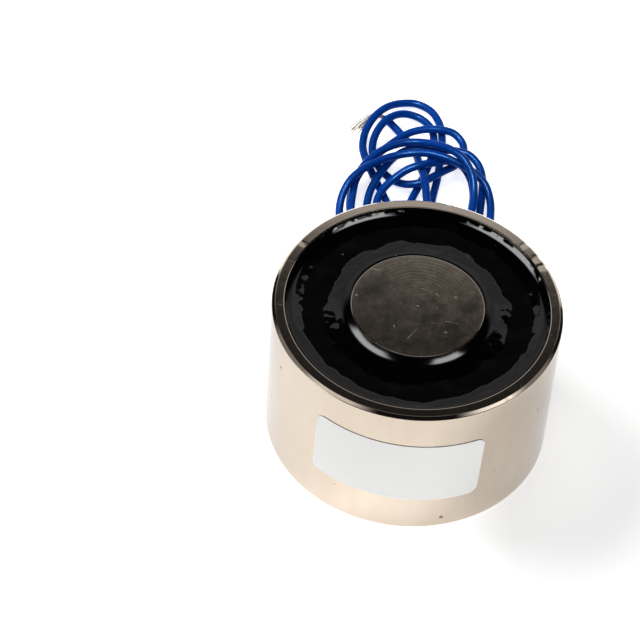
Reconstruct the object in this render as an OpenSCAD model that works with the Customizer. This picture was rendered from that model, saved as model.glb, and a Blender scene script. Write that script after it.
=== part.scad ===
// Round holding electromagnet with two free leads.
// It stands on its back, +Z along its axis, pole face up. Millimetres.

/* [Body] */
// Outer diameter of the steel pot
body_d = 50; // [48:0.5:54]
// Height from the back to the pole face
body_h = 30; // [29:0.5:34]
// Thickness of the outer wall
wall_t = 2.2; // [1.8:0.1:2.4]
// Thickness of the floor at the back
floor_t = 5; // [4:0.25:5]
// Diameter of the centre pole
pole_d = 23; // [21:0.5:23]
// Width of the chamfer on the outer edge of the rim
rim_chamfer_w = 0.6; // [0.3:0.05:1]
// Height of the chamfer on the outer edge of the rim
rim_chamfer_h = 0.5; // [0.3:0.05:1]
// Chamfer on the outer edge of the back
back_chamfer = 0.5; // [0.2:0.1:1]

/* [Fixing hole] */
// Tapping diameter of the hole in the back
tap_d = 4.2; // [3.3:0.1:5]
// Depth of the hole, to the end of its straight wall
tap_depth = 12; // [8:0.5:15]
// Depth of the countersink at its mouth
tap_sink = 0.6; // [0.2:0.1:1]

/* [Coil] */
// Outer diameter of the winding
winding_d = 37.2; // [34:0.2:37.4]
// Thickness of the tape round the winding
tape_t = 0.3; // [0.2:0.05:0.4]
// Thickness of the bobbin's flanges
flange_t = 1.2; // [1:0.1:1.4]
// Wall of the bobbin's tube
tube_t = 1; // [0.8:0.1:1.2]
// Height of the bobbin
bobbin_h = 21.4; // [20:0.2:22]
// Diameter of the enamelled wire tails
tail_d = 0.5; // [0.3:0.05:0.6]

/* [Casting resin] */
// How far the middle of the resin lies below the pole face
resin_drop = 1.8; // [1.6:0.05:1.9]
// How far the resin creeps up the pole
pole_creep = 1.35; // [0.6:0.05:1.4]
// How far the resin creeps up the rim
rim_creep = 1.1; // [0.6:0.05:1.4]

/* [Leads] */
// Diameter of a lead over its insulation
lead_d = 1.5; // [1.4:0.05:1.5]
// Distance between the two leads where they come out
lead_pitch = 2; // [2:0.1:2.2]
// Height of the lead hole above the back
lead_z = 8; // [8:0.1:8.2]
// Diameter of the lead hole in the wall
lead_hole_d = 5.5; // [5.5:0.1:6]
// Diameter of one bare strand
strand_d = 0.24; // [0.15:0.01:0.3]

/* [Label] */
// Width of the sticker across the front
label_w = 28.4; // [24:0.2:32]
// Height of the sticker
label_h = 14.4; // [10:0.2:16]
// Thickness of the sticker
label_t = 0.12; // [0.05:0.01:0.2]
// Turn of the sticker out of level, in degrees
label_tilt = 1.6; // [0:0.1:3]
// Radius of the sticker's corners
label_corner = 1.6; // [0.5:0.1:2]

/* [Hidden] */
$fn = 96;

body_r = body_d / 2;
pole_r = pole_d / 2;
bore_r = body_r - wall_t;              // inside of the wall
groove_r = bore_r;
gap = 0.1;                             // slip fit of the bobbin over the pole
bob_in = pole_r + gap;
bob_out = bob_in + tube_t;             // where the winding starts
flange_r = bore_r - 0.6;
bob_z0 = floor_t;                      // it sits on the floor
bob_z1 = bob_z0 + bobbin_h;
wind_z0 = bob_z0 + flange_t;
wind_z1 = bob_z1 - flange_t;
wind_r = winding_d / 2;
tape_r = wind_r + tape_t;
resin_z = body_h - resin_drop;
lead_r = lead_d / 2;
lead_x = lead_pitch / 2;
fit = 0.05;                            // lead in its bore
edge_w = 0.15;                         // broken inner edges of the face
edge_h = 0.05;
tail_r = tail_d / 2;

// The splices lie along the inside of the wall, one each side of the lead hole.
splice = [6.5, 19.5, lead_z];          // where a lead ends
splice_dir = [0.948, -0.317, 0];       // away from the lead
sleeve_r = 1.15;
sleeve_bore = lead_r + fit;
sleeve_back = 3;                       // sleeve over the lead
sleeve_fore = 4;                       // sleeve past the lead's end
joint_l = 2.2;
joint_r = 0.55;

// Route of each lead: inside the resin, out through the grommet, down to the
// surface it lies on, then the loops of the loose pile behind the body.
// Points are x, y, z, and z is the height of the lead's middle.
a_inside = [[-6.5, 19.5, 8], [-3.4, 20.5, 8], [-2.1, 21.2, 8], [-1.2, 22.5, 8], [-1, 24, 8], [-1, 29, 8]];
b_inside = [[6.5, 19.5, 8], [3.4, 20.5, 8], [2.1, 21.2, 8], [1.2, 22.5, 8], [1, 24, 8], [1, 29, 8]];
a_route = [
  [-1, 29, 8], [-2, 33, 7], [-4.5, 37, 5], [-8, 40.5, 3], [-11, 44.5, 1.5], [-11.5, 49, 1],
  // up the left, over the top and down the right
  [-11.5, 52, 1.8], [-10.5, 55, 2.6], [-9, 58, 2.6], [-7.5, 61.5, 2.6], [-5, 63.5, 2.7], [-2, 64, 2.7],
  [1, 64, 2.7], [4, 64.5, 2.6], [6.5, 64, 2.5], [8.5, 62, 2], [9.5, 59.5, 1], [9.7, 56, 0.8], [9.5, 52, 0.8],
  // first turn back close behind the body
  [9.5, 48, 0.8], [8.5, 43.5, 0.8], [6, 40, 0.8], [2, 37.5, 0.8], [-3, 36.5, 0.8], [-8.5, 37, 0.8], [-13, 39.5, 0.8], [-16, 43, 0.8],
  // lower big arc
  [-16.5, 46.5, 1.5], [-16.5, 49.5, 2.8], [-15.5, 52, 4.2], [-13.5, 54.5, 4.8], [-11, 57, 4.6], [-8, 59.5, 4.4], [-4.5, 60.5, 4.7],
  [-1, 60, 5.6], [2, 59.5, 5.8], [5, 58.5, 4.8], [8, 58, 3.8], [10, 56.5, 2.8], [11.5, 53.5, 1.4], [11.5, 50, 0.8],
  // second turn back
  [11.5, 46, 0.8], [10.5, 41.5, 0.8], [7.5, 37, 0.8], [3, 34, 0.8], [-2.5, 33, 0.8], [-8, 34, 1], [-12, 37, 2.2], [-14, 41, 2.7],
  // upper big arc
  [-14.5, 46, 2.5], [-14.5, 50, 2.5], [-14.5, 53.5, 2.7], [-13.5, 56.5, 3.4], [-11.5, 59.5, 4], [-9, 62, 4.1], [-6, 63.5, 4.3],
  [-3, 64, 4.4], [0, 62.5, 5.4], [3, 60.5, 7], [5.5, 58.5, 6.6], [7.5, 56.5, 5], [8, 53.5, 3.4], [8, 50, 2.5],
  // short turn and the straight end
  [7.5, 47, 2.5], [5.5, 45, 2.5], [3, 44.5, 3], [0.5, 46, 3.8], [-0.5, 49, 4.4], [-1, 52, 4.6], [-1.5, 55, 4.7], [-2.5, 58.5, 2.8],
  [-3, 61.5, 1.4], [-3.5, 64, 0.8], [-5, 66.5, 0.8], [-7, 69, 0.8], [-9, 71.5, 0.8], [-10.5, 73, 0.8]];
b_route = [
  [1, 29, 8], [0.5, 33, 7], [-0.5, 37, 5.4], [-2.5, 40.5, 4], [-4, 44.5, 2.6], [-4, 48.5, 1.2],
  // inner small loop
  [-3.5, 52, 0.8], [-2.5, 55.5, 0.8], [-1.5, 59.5, 0.8], [-0.6, 64, 0.8], [-0.6, 68.5, 0.8], [-1.5, 72, 0.8], [-4, 74, 0.8],
  [-7, 74, 1.5], [-9.5, 71.5, 2.7], [-11.5, 68.5, 2.2], [-12, 65.5, 1.3], [-12, 62.5, 0.8], [-10.5, 60, 0.8], [-9, 58, 0.8],
  [-7, 56, 1], [-4.5, 55, 2], [-2, 55, 2.5], [0, 57, 2.6], [2, 59.5, 2.3], [4, 62, 0.9], [5.5, 65, 0.8], [5, 68.5, 1],
  // middle loop
  [3, 70, 2], [0.5, 69.5, 2.5], [-2.5, 69.5, 2.4], [-5, 68.5, 2.4], [-7.5, 66, 2.4], [-9.5, 63, 2.5], [-11.5, 60.5, 2.6],
  [-13.5, 57.5, 2.1], [-14.5, 54.5, 1.1], [-15, 51, 0.8],
  // turn back close behind the body
  [-14.5, 46.5, 0.8], [-12.5, 42.5, 0.8], [-9, 40, 0.8], [-5, 39.5, 1], [-1.5, 41.5, 2.9], [0, 45.5, 2.2], [0, 50, 0.9],
  // outer small loop
  [0.5, 54, 0.8], [1, 57.5, 0.8], [1, 61.5, 0.8], [1, 65.5, 0.8], [1, 69.5, 0.8], [0, 73.5, 0.8], [-2, 76.5, 0.8], [-5, 78, 0.8],
  [-8, 77, 0.9], [-10.5, 74.5, 2.2], [-12.5, 71.5, 2.5], [-14, 68, 1.2], [-14, 64.5, 0.8], [-13.2, 61.5, 0.8], [-11.5, 58, 0.8],
  [-10.5, 55.5, 0.8], [-9, 52.5, 0.8], [-7.5, 50, 0.8],
  // last turn, the crossing arc and the end behind the body
  [-6.5, 47, 0.8], [-4.5, 44.5, 0.8], [-1.5, 42.5, 0.8], [1.5, 41.5, 0.8], [4.5, 42.5, 0.8], [6.5, 45, 0.8], [7.5, 48.5, 0.8],
  [8, 52, 0.8], [8, 56, 0.8], [7, 59, 1.5], [5, 61, 2.8], [2.5, 61, 3.5], [0, 59, 3.5], [-2.5, 57, 5.9], [-5, 56.5, 4.1],
  [-7, 55, 3], [-9, 52.5, 2.5], [-10, 50, 1.8], [-9.5, 47, 0.8], [-8, 44.5, 0.8]];

// One relaxing pass over a route, ends held.
function relax(p, k) = let (n = len(p) - 1)
  [for (i = [0 : n]) i == 0 || i == n ? p[i] : p[i] + k * ((p[i - 1] + p[i + 1]) / 2 - p[i])];
// Two gentle pairs of passes, which even out the bends and keep the loops' size.
function eased(p) = relax(relax(relax(relax(p, 0.5), -0.53), 0.5), -0.53);
// Nothing lies below the surface.
function landed(p) = [for (q = p) [q[0], q[1], max(q[2], lead_r + fit)]];
function tail_of(p) = [for (i = [1 : len(p) - 1]) p[i]];
function lead_path(inside, route) = concat(inside, tail_of(landed(eased(route))));

// Direction of a path at point i.
function unit(v) = v / norm(v);
function along(p, i) = unit(p[min(i + 1, len(p) - 1)] - p[max(i - 1, 0)]);
// A side vector carried along the path without twist.
function carried(p, i, s) = let (t = along(p, i), v = s - t * (s * t)) unit(v);
function sides_at(p) = [for (i = 0, s = carried(p, 0, [0, 0, 1]); i < len(p);
                         i = i + 1, s = i < len(p) ? carried(p, i, s) : s) s];
// A round cord with closed ends: one ring of eight points at each point of the path.
module cord(p, r, sides = 8) {
  s = sides_at(p);
  n = len(p);
  rings = [for (i = [0 : n - 1]) let (u = s[i], v = cross(along(p, i), s[i]))
           for (k = [0 : sides - 1]) let (a = 360 * (k + 0.5) / sides) p[i] + r * (cos(a) * u + sin(a) * v)];
  walls = [for (i = [0 : n - 2]) for (k = [0 : sides - 1])
           let (a = i * sides + k, b = i * sides + (k + 1) % sides) each [[a, a + sides, b + sides], [a, b + sides, b]]];
  ends = [[for (k = [0 : sides - 1]) k], [for (k = [sides - 1 : -1 : 0]) (n - 1) * sides + k]];
  polyhedron(points = rings, faces = concat(ends, walls), convexity = 12);
}

// A straight round bar between two points.
module bar(a, b, r) {
  d = b - a;
  translate(a) rotate([0, acos(d[2] / norm(d)), atan2(d[1], d[0])]) cylinder(h = norm(d), r = r, $fn = 32);
}
// Places a child along the splice on the right side.
module at_splice() {
  translate(splice) rotate([0, 90, atan2(splice_dir[1], splice_dir[0])]) children();
}
module left_side() { mirror([1, 0, 0]) children(); }
module along_y(y) { translate([0, y, lead_z]) rotate([-90, 0, 0]) children(); }

// Steel pot with its centre pole, one turned piece.
module magnet_body() {
  color([0.82, 0.78, 0.70]) difference() {
    rotate_extrude() polygon([
      [0, 0], [body_r - back_chamfer, 0], [body_r, back_chamfer], [body_r, body_h - rim_chamfer_h],
      [body_r - rim_chamfer_w, body_h], [groove_r + edge_w, body_h], [groove_r, body_h - edge_h], [groove_r, floor_t],
      [pole_r, floor_t], [pole_r, body_h - edge_h], [pole_r - edge_w, body_h], [0, body_h]]);
    // tapped hole in the back, with its drill point and countersink
    translate([0, 0, -1]) cylinder(h = tap_depth + 1, d = tap_d);
    translate([0, 0, tap_depth - 0.001]) cylinder(h = tap_d * 0.3, d1 = tap_d, d2 = 0.2);
    translate([0, 0, -0.001]) cylinder(h = tap_sink, d1 = tap_d + 2 * tap_sink, d2 = tap_d);
    // lead hole
    along_y(bore_r - 3) cylinder(h = 8, d = lead_hole_d);
    // mark left by the lathe's centre
    translate([0, 0, body_h - 0.05]) cylinder(h = 0.1, d1 = 0.2, d2 = 0.8);
  }
}

// Former of the coil, with the slot that lets the inner tail out.
module coil_bobbin() {
  color([0.86, 0.84, 0.76]) difference() {
    rotate_extrude() polygon([
      [bob_in, bob_z0], [flange_r, bob_z0], [flange_r, wind_z0], [bob_out, wind_z0],
      [bob_out, wind_z1], [flange_r, wind_z1], [flange_r, bob_z1], [bob_in, bob_z1]]);
    start_slot();
  }
}
module start_slot() {
  rotate([0, 0, 60]) translate([bob_out - 0.001, -0.4, wind_z0 - 0.7]) cube([flange_r, 0.8, 2]);
}

// The turns of copper wire, as one block.
module coil_winding() {
  color([0.72, 0.38, 0.16]) rotate_extrude()
    polygon([[bob_out, wind_z0], [wind_r, wind_z0], [wind_r, wind_z1], [bob_out, wind_z1]]);
}

module winding_tape() {
  color([0.90, 0.74, 0.20]) difference() {
    rotate_extrude() polygon([[wind_r, wind_z0], [tape_r, wind_z0], [tape_r, wind_z1], [wind_r, wind_z1]]);
    cord(finish_points, tail_r + fit);
  }
}

// The outer layer's tail leaves the winding and goes to the left splice.
joint_end = splice + splice_dir * joint_l;
sleeve_end = splice + splice_dir * (sleeve_fore + 0.6);
finish_points = [for (q = [joint_end, sleeve_end, [11.4, 14.4, 8]]) [-q[0], q[1], q[2]]];
// The inner layer's tail lies in the slot of the lower flange and goes to the right splice.
start_z = wind_z0 - 0.35;
start_points = [joint_end, sleeve_end, [10.4, 18, start_z], [(bob_out + 0.4) * 0.5, (bob_out + 0.4) * 0.866, start_z]];

module start_tail() { color([0.70, 0.36, 0.15]) cord(start_points, tail_r); }
module finish_tail() {
  color([0.70, 0.36, 0.15]) difference() {
    cord(finish_points, tail_r);
    cylinder(h = 20, r = wind_r);
  }
}

// Solder round the lead's end and the tail.
module solder_joint() {
  color([0.75, 0.76, 0.78]) difference() {
    at_splice() {
      cylinder(h = joint_l - 0.4, r = joint_r, $fn = 32);
      translate([0, 0, joint_l - 0.4]) cylinder(h = 0.4, r1 = joint_r, r2 = tail_r, $fn = 32);
    }
  }
}
module solder_joint_a() { left_side() solder_joint(); }
module solder_joint_b() { solder_joint(); }

module splice_sleeve() {
  color([0.10, 0.10, 0.11]) at_splice() translate([0, 0, -sleeve_back]) difference() {
    cylinder(h = sleeve_back + sleeve_fore, r = sleeve_r, $fn = 48);
    translate([0, 0, -1]) cylinder(h = sleeve_back + sleeve_fore + 2, r = sleeve_bore, $fn = 48);
  }
}
module splice_sleeve_a() { left_side() splice_sleeve(); }
module splice_sleeve_b() { splice_sleeve(); }

// Rubber bush with a flange that sits on the wall and a short tapered nose.
grommet_y0 = 23.5;
module lead_grommet() {
  color([0.06, 0.06, 0.065]) difference() {
    along_y(grommet_y0) rotate_extrude() polygon([
      [0, 0], [lead_hole_d / 2 - 0.02, 0], [lead_hole_d / 2 - 0.02, 1], [3.8, 1], [3.8, 2.5], [3.6, 2.8],
      [2.9, 2.9], [2.5, 4.7], [2.3, 4.9], [0, 4.9]]);
    // the flange follows the round of the wall
    difference() {
      cylinder(h = 20, r = body_r);
      along_y(bore_r - 3) cylinder(h = 8, d = lead_hole_d);
    }
    for (x = [-lead_x, lead_x]) translate([x, 0, 0]) along_y(grommet_y0 - 1) cylinder(h = 8, r = lead_r + fit, $fn = 48);
  }
}

// Distances from the steel at which the resin's creeping edges are drawn.
pole_steps = [0, 0.3, 0.65, 1, 1.3, 2, 3, 4.4];
rim_steps = [0, 0.35, 0.75, 1.1, 1.5, 2.2, 2.95];
// Share of the creep at a distance: a long skirt, and a fillet close to the steel.
function skirt(d, w) = let (u = max(0, 1 - d / w)) 0.7 * u + 0.3 * u * u;
function fillet(d, w) = let (u = max(0, 1 - d / w)) u * u;
// Casting resin: a ring over and round the coil, with a plug in the lead hole.
module potting_resin() {
  color([0.02, 0.02, 0.022]) difference() {
    union() {
      rotate_extrude() polygon(concat([[groove_r, floor_t]],
        [for (d = rim_steps) [groove_r - d, resin_z + rim_creep * (0.62 * skirt(d, 2.95) + 0.38 * fillet(d, 1.5))]],
        [for (k = [len(pole_steps) - 1 : -1 : 0]) let (d = pole_steps[k])
          [pole_r + d, resin_z + pole_creep * (0.76 * skirt(d, 4.4) + 0.24 * fillet(d, 1.3))]],
        [[pole_r, bob_z1], [flange_r, bob_z1], [flange_r, wind_z1], [tape_r, wind_z1], [tape_r, wind_z0], [flange_r, wind_z0], [flange_r, floor_t]]));
      along_y(flange_r) cylinder(h = grommet_y0 - flange_r, d = lead_hole_d);
    }
    cord(a_inside, lead_r + 2 * fit);
    cord(b_inside, lead_r + 2 * fit);
    left_side() at_splice() translate([0, 0, -sleeve_back]) cylinder(h = sleeve_back + sleeve_fore, r = sleeve_r, $fn = 48);
    at_splice() translate([0, 0, -sleeve_back]) cylinder(h = sleeve_back + sleeve_fore, r = sleeve_r, $fn = 48);
    cord(finish_points, tail_r + fit);
    cord(start_points, tail_r + fit);
  }
}

// Bare sticker with small round corners, bent round the wall.
module label_outline(w, h, r) {
  square([w - 2 * r, h], center = true);
  square([w, h - 2 * r], center = true);
  for (x = [-1, 1], y = [-1, 1]) translate([x * (w / 2 - r), y * (h / 2 - r)]) circle(r = r);
}
module rating_label() {
  color([0.90, 0.91, 0.90]) intersection() {
    rotate_extrude() translate([body_r, 2]) square([label_t, body_h - 4]);
    translate([-0.6, 0, 15.5]) rotate([90, label_tilt, 0]) linear_extrude(height = 40) label_outline(label_w, label_h, label_corner);
  }
}

module lead_a() { color([0.02, 0.20, 0.60]) cord(lead_path(a_inside, a_route), lead_r); }
module lead_b() { color([0.02, 0.20, 0.60]) cord(lead_path(b_inside, b_route), lead_r); }

// Bare strands: a short tinned stub in line with the lead, then seven fine strands that part.
// Each strand keeps its own place in the stub, so they don't cross.
strand_fan = [[0, 0], [1, 0], [0.5, 0.87], [-0.5, 0.87], [-1, 0], [-0.5, -0.87], [0.5, -0.87]];
module strands(p, stub, spread) {
  n = len(p) - 1;
  color([0.80, 0.78, 0.72]) union() {
    bar(p[0], p[0] + unit(p[1] - p[0]) * stub, 0.42);
    for (f = strand_fan)
      cord([for (i = [0 : n]) let (t = along(p, i), side = unit(cross([0, 0, 1], t)), k = 0.26 + spread * pow(i / n, 1.5))
            [p[i][0], p[i][1], max(p[i][2], strand_d / 2 + 0.02)] + t * (i == 0 ? 0.3 : f[1] * 0.4 * i / n)
            + side * (f[0] + 0.3 * f[1] * i / n) * k + [0, 0, i == n ? 0.14 * (f[1] + 0.87) : f[1] * 0.26]], strand_d / 2, 6);
  }
}
a_strands = [[-10.5, 73, 0.8], [-12, 73.7, 0.7], [-13.4, 73, 0.6], [-14.8, 71, 0.5], [-16, 68.6, 0.14]];
b_strands = [[-8, 44.5, 0.8], [-7.3, 43.3, 0.7], [-6.7, 42.4, 0.5], [-6, 41.6, 0.14]];
module lead_a_strands() { strands(a_strands, 1.2, 0.7); }
module lead_b_strands() { strands(b_strands, 1, 0.35); }

magnet_body();
coil_bobbin();
coil_winding();
winding_tape();
start_tail();
finish_tail();
solder_joint_a();
solder_joint_b();
splice_sleeve_a();
splice_sleeve_b();
lead_grommet();
potting_resin();
rating_label();
lead_a();
lead_b();
lead_a_strands();
lead_b_strands();
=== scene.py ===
import math

import bmesh
import bpy
from mathutils import Matrix, Vector, noise


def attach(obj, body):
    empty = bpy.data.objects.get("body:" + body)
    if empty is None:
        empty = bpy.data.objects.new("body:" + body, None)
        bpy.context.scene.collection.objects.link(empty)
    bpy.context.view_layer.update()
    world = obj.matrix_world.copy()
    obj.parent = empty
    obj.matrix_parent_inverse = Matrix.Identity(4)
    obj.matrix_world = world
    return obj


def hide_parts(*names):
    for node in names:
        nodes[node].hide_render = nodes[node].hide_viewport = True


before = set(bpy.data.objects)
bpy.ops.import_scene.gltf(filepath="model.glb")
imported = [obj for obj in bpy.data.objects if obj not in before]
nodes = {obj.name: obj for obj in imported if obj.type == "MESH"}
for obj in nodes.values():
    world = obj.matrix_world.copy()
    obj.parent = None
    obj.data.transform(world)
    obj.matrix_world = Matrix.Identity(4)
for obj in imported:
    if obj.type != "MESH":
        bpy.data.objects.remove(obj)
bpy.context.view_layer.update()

scene = bpy.context.scene
MM = 0.001
TAU = 2 * math.pi

# ------------------------------------------------------------------ camera
cam_data = bpy.data.cameras.new("cam")
cam_data.sensor_fit = "HORIZONTAL"
cam_data.sensor_width = 36
cam_data.lens = 36 * 2933.37 / 640
cam_data.clip_start = 0.01
cam_data.clip_end = 50
cam = bpy.data.objects.new("cam", cam_data)
scene.collection.objects.link(cam)
RIGHT = (0.99296571, 0.10726798, 0.05012665)
UP = (-0.11384227, 0.74858354, 0.65319417)
AHEAD = (-0.03254283, 0.65430594, -0.75552941)
EYE = (0.0, -0.3313148, 0.4058251)
cam.matrix_world = Matrix([[RIGHT[i], UP[i], -AHEAD[i], EYE[i]] for i in range(3)] + [[0, 0, 0, 1]])
scene.camera = cam
scene.view_settings.view_transform = "Standard"
scene.view_settings.look = "None"


# ------------------------------------------------------------------ material helpers
class Mat:
    """A material with a Principled shader, and short ways to add nodes to it."""

    def __init__(self, name, **sockets):
        self.mat = bpy.data.materials.new(name)
        self.mat.use_nodes = True
        self.nt = self.mat.node_tree
        self.nt.nodes.clear()
        out = self.nt.nodes.new("ShaderNodeOutputMaterial")
        self.bsdf = self.nt.nodes.new("ShaderNodeBsdfPrincipled")
        self.nt.links.new(self.bsdf.outputs[0], out.inputs[0])
        for k, v in sockets.items():
            self.bsdf.inputs[k.replace("_", " ")].default_value = v
        self._obj = None

    def node(self, kind, **kw):
        n = self.nt.nodes.new(kind)
        for k, v in kw.items():
            setattr(n, k, v)
        return n

    def put(self, socket, v):
        if isinstance(v, bpy.types.NodeSocket):
            self.nt.links.new(v, socket)
        elif v is not None:
            socket.default_value = v

    def obj(self):
        if self._obj is None:
            self._obj = self.node("ShaderNodeTexCoord").outputs["Object"]
        return self._obj

    def m(self, op, a, b=None, c=None, clamp=False):
        n = self.node("ShaderNodeMath", operation=op, use_clamp=clamp)
        for i, v in enumerate((a, b, c)):
            self.put(n.inputs[i], v)
        return n.outputs[0]

    def xyz(self):
        n = self.node("ShaderNodeSeparateXYZ")
        self.put(n.inputs[0], self.obj())
        return n.outputs

    def radius(self):
        x, y, _ = self.xyz()
        return self.m("SQRT", self.m("ADD", self.m("MULTIPLY", x, x), self.m("MULTIPLY", y, y)))

    def angle(self):
        x, y, _ = self.xyz()
        return self.m("ARCTAN2", x, self.m("MULTIPLY", y, -1.0))

    def vec(self, x, y, z):
        n = self.node("ShaderNodeCombineXYZ")
        for i, v in enumerate((x, y, z)):
            self.put(n.inputs[i], v)
        return n.outputs[0]

    def scaled(self, v, s):
        n = self.node("ShaderNodeVectorMath", operation="MULTIPLY")
        self.put(n.inputs[0], v)
        n.inputs[1].default_value = s
        return n.outputs[0]

    def noise(self, scale, detail=3.0, rough=0.55, vec=None, distort=0.0):
        n = self.node("ShaderNodeTexNoise")
        self.put(n.inputs["Vector"], vec if vec is not None else self.obj())
        n.inputs["Scale"].default_value = scale
        n.inputs["Detail"].default_value = detail
        n.inputs["Roughness"].default_value = rough
        n.inputs["Distortion"].default_value = distort
        return n.outputs["Fac"]

    def cells(self, scale, vec=None, feature="F1", out="Distance"):
        n = self.node("ShaderNodeTexVoronoi", feature=feature)
        self.put(n.inputs["Vector"], vec if vec is not None else self.obj())
        n.inputs["Scale"].default_value = scale
        return n.outputs[out]

    def span(self, v, a, b, lo=0.0, hi=1.0, smooth=False):
        n = self.node("ShaderNodeMapRange", clamp=True)
        if smooth:
            n.interpolation_type = "SMOOTHSTEP"
        self.put(n.inputs["Value"], v)
        for k, x in (("From Min", a), ("From Max", b), ("To Min", lo), ("To Max", hi)):
            n.inputs[k].default_value = x
        return n.outputs[0]

    def mix(self, f, a, b):
        n = self.node("ShaderNodeMix", data_type="RGBA")
        self.put(n.inputs["Factor"], f)
        for s, v in ((n.inputs[6], a), (n.inputs[7], b)):
            self.put(s, (*v, 1) if isinstance(v, tuple) else v)
        return n.outputs[2]

    def bump(self, height, strength, distance, normal=None):
        n = self.node("ShaderNodeBump")
        n.inputs["Strength"].default_value = strength
        n.inputs["Distance"].default_value = distance
        self.put(n.inputs["Height"], height)
        self.put(n.inputs["Normal"], normal)
        return n.outputs[0]

    def set(self, **sockets):
        for k, v in sockets.items():
            self.put(self.bsdf.inputs[k.replace("_", " ")], v)
        return self


# ------------------------------------------------------------------ mesh helpers
def add_object(name, data, mats, replaced=(), body="root"):
    o = bpy.data.objects.new(name, data)
    scene.collection.objects.link(o)
    for m in mats:
        data.materials.append(m)
    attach(o, body)
    if replaced:
        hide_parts(*replaced)
    return o


def make_mesh(name, verts, faces, face_mats=None, sharp=32):
    me = bpy.data.meshes.new(name)
    me.from_pydata([tuple(c * MM for c in v) for v in verts], [], faces)
    me.validate()
    if face_mats is not None:
        me.polygons.foreach_set("material_index", face_mats)
    bm = bmesh.new()
    bm.from_mesh(me)
    bmesh.ops.recalc_face_normals(bm, faces=bm.faces)
    bm.to_mesh(me)
    bm.free()
    me.polygons.foreach_set("use_smooth", [True] * len(me.polygons))
    if sharp:
        me.set_sharp_from_angle(angle=math.radians(sharp))
    me.update()
    return me


def rounded(profile, r, closed=False, steps=3):
    """A profile of (radius, height, tag) with each corner rounded by about r. The tag belongs to the stretch that starts at the point."""
    out = []
    n = len(profile)
    for i, p in enumerate(profile):
        if not closed and i in (0, n - 1):
            out.append(p)
            continue
        a, b = profile[i - 1], profile[(i + 1) % n]
        va = Vector((a[0] - p[0], a[1] - p[1]))
        vb = Vector((b[0] - p[0], b[1] - p[1]))
        k = min(r if len(p) < 4 else p[3], va.length * 0.42, vb.length * 0.42)
        s, e = Vector(p[:2]) + va.normalized() * k, Vector(p[:2]) + vb.normalized() * k
        near = Vector(p[:2]) + va.normalized() * (k + 0.03)
        far = Vector(p[:2]) + vb.normalized() * (k + 0.03)
        out.append((near.x, near.y, a[2]))
        for j in range(steps + 1):
            t = j / steps
            q = s * (1 - t) ** 2 + Vector(p[:2]) * 2 * t * (1 - t) + e * t * t
            out.append((q.x, q.y, a[2] if j < steps else p[2]))
        out.append((far.x, far.y, p[2]))
    return out


def split(profile, step, closed=False):
    """Adds points on long stretches, so that no row of faces is taller than step."""
    out = []
    n = len(profile)
    for i in range(n if closed else n - 1):
        a, b = profile[i], profile[(i + 1) % n]
        k = max(1, math.ceil(math.dist(a[:2], b[:2]) / step))
        out += [(a[0] + (b[0] - a[0]) * j / k, a[1] + (b[1] - a[1]) * j / k, a[2]) for j in range(k)]
    return out if closed else out + [profile[-1]]


def lathe(profile, segs, shape=None, closed=False):
    """Vertices, faces and face tags of a profile turned about Z. shape(r, a, z) may move a point."""
    verts, faces, tags, rows = [], [], [], []
    for r, z, _ in profile:
        if r < 1e-6:
            rows.append([len(verts)] * segs)
            verts.append((0, 0, z))
            continue
        rows.append(list(range(len(verts), len(verts) + segs)))
        for k in range(segs):
            a = TAU * k / segs
            rr, zz = (r, z) if shape is None else shape(r, a, z)
            verts.append((rr * math.cos(a), rr * math.sin(a), zz))
    n = len(profile)
    for i in range(n if closed else n - 1):
        p, q = rows[i], rows[(i + 1) % n]
        for k in range(segs):
            f = [p[k], p[(k + 1) % segs], q[(k + 1) % segs], q[k]]
            f = [v for j, v in enumerate(f) if v not in f[:j]]
            if len(f) > 2:
                faces.append(f)
                tags.append(profile[i][2])
    return verts, faces, tags


def cut(o, tool_mesh):
    """Takes a shape out of an object's mesh for good."""
    t = bpy.data.objects.new("cutter", tool_mesh)
    scene.collection.objects.link(t)
    mod = o.modifiers.new("cut", "BOOLEAN")
    mod.operation, mod.solver, mod.object = "DIFFERENCE", "EXACT", t
    me = bpy.data.meshes.new_from_object(o.evaluated_get(bpy.context.evaluated_depsgraph_get()))
    o.modifiers.clear()
    o.data = me
    bpy.data.objects.remove(t)
    me.polygons.foreach_set("use_smooth", [True] * len(me.polygons))
    me.set_sharp_from_angle(angle=math.radians(32))


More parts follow.
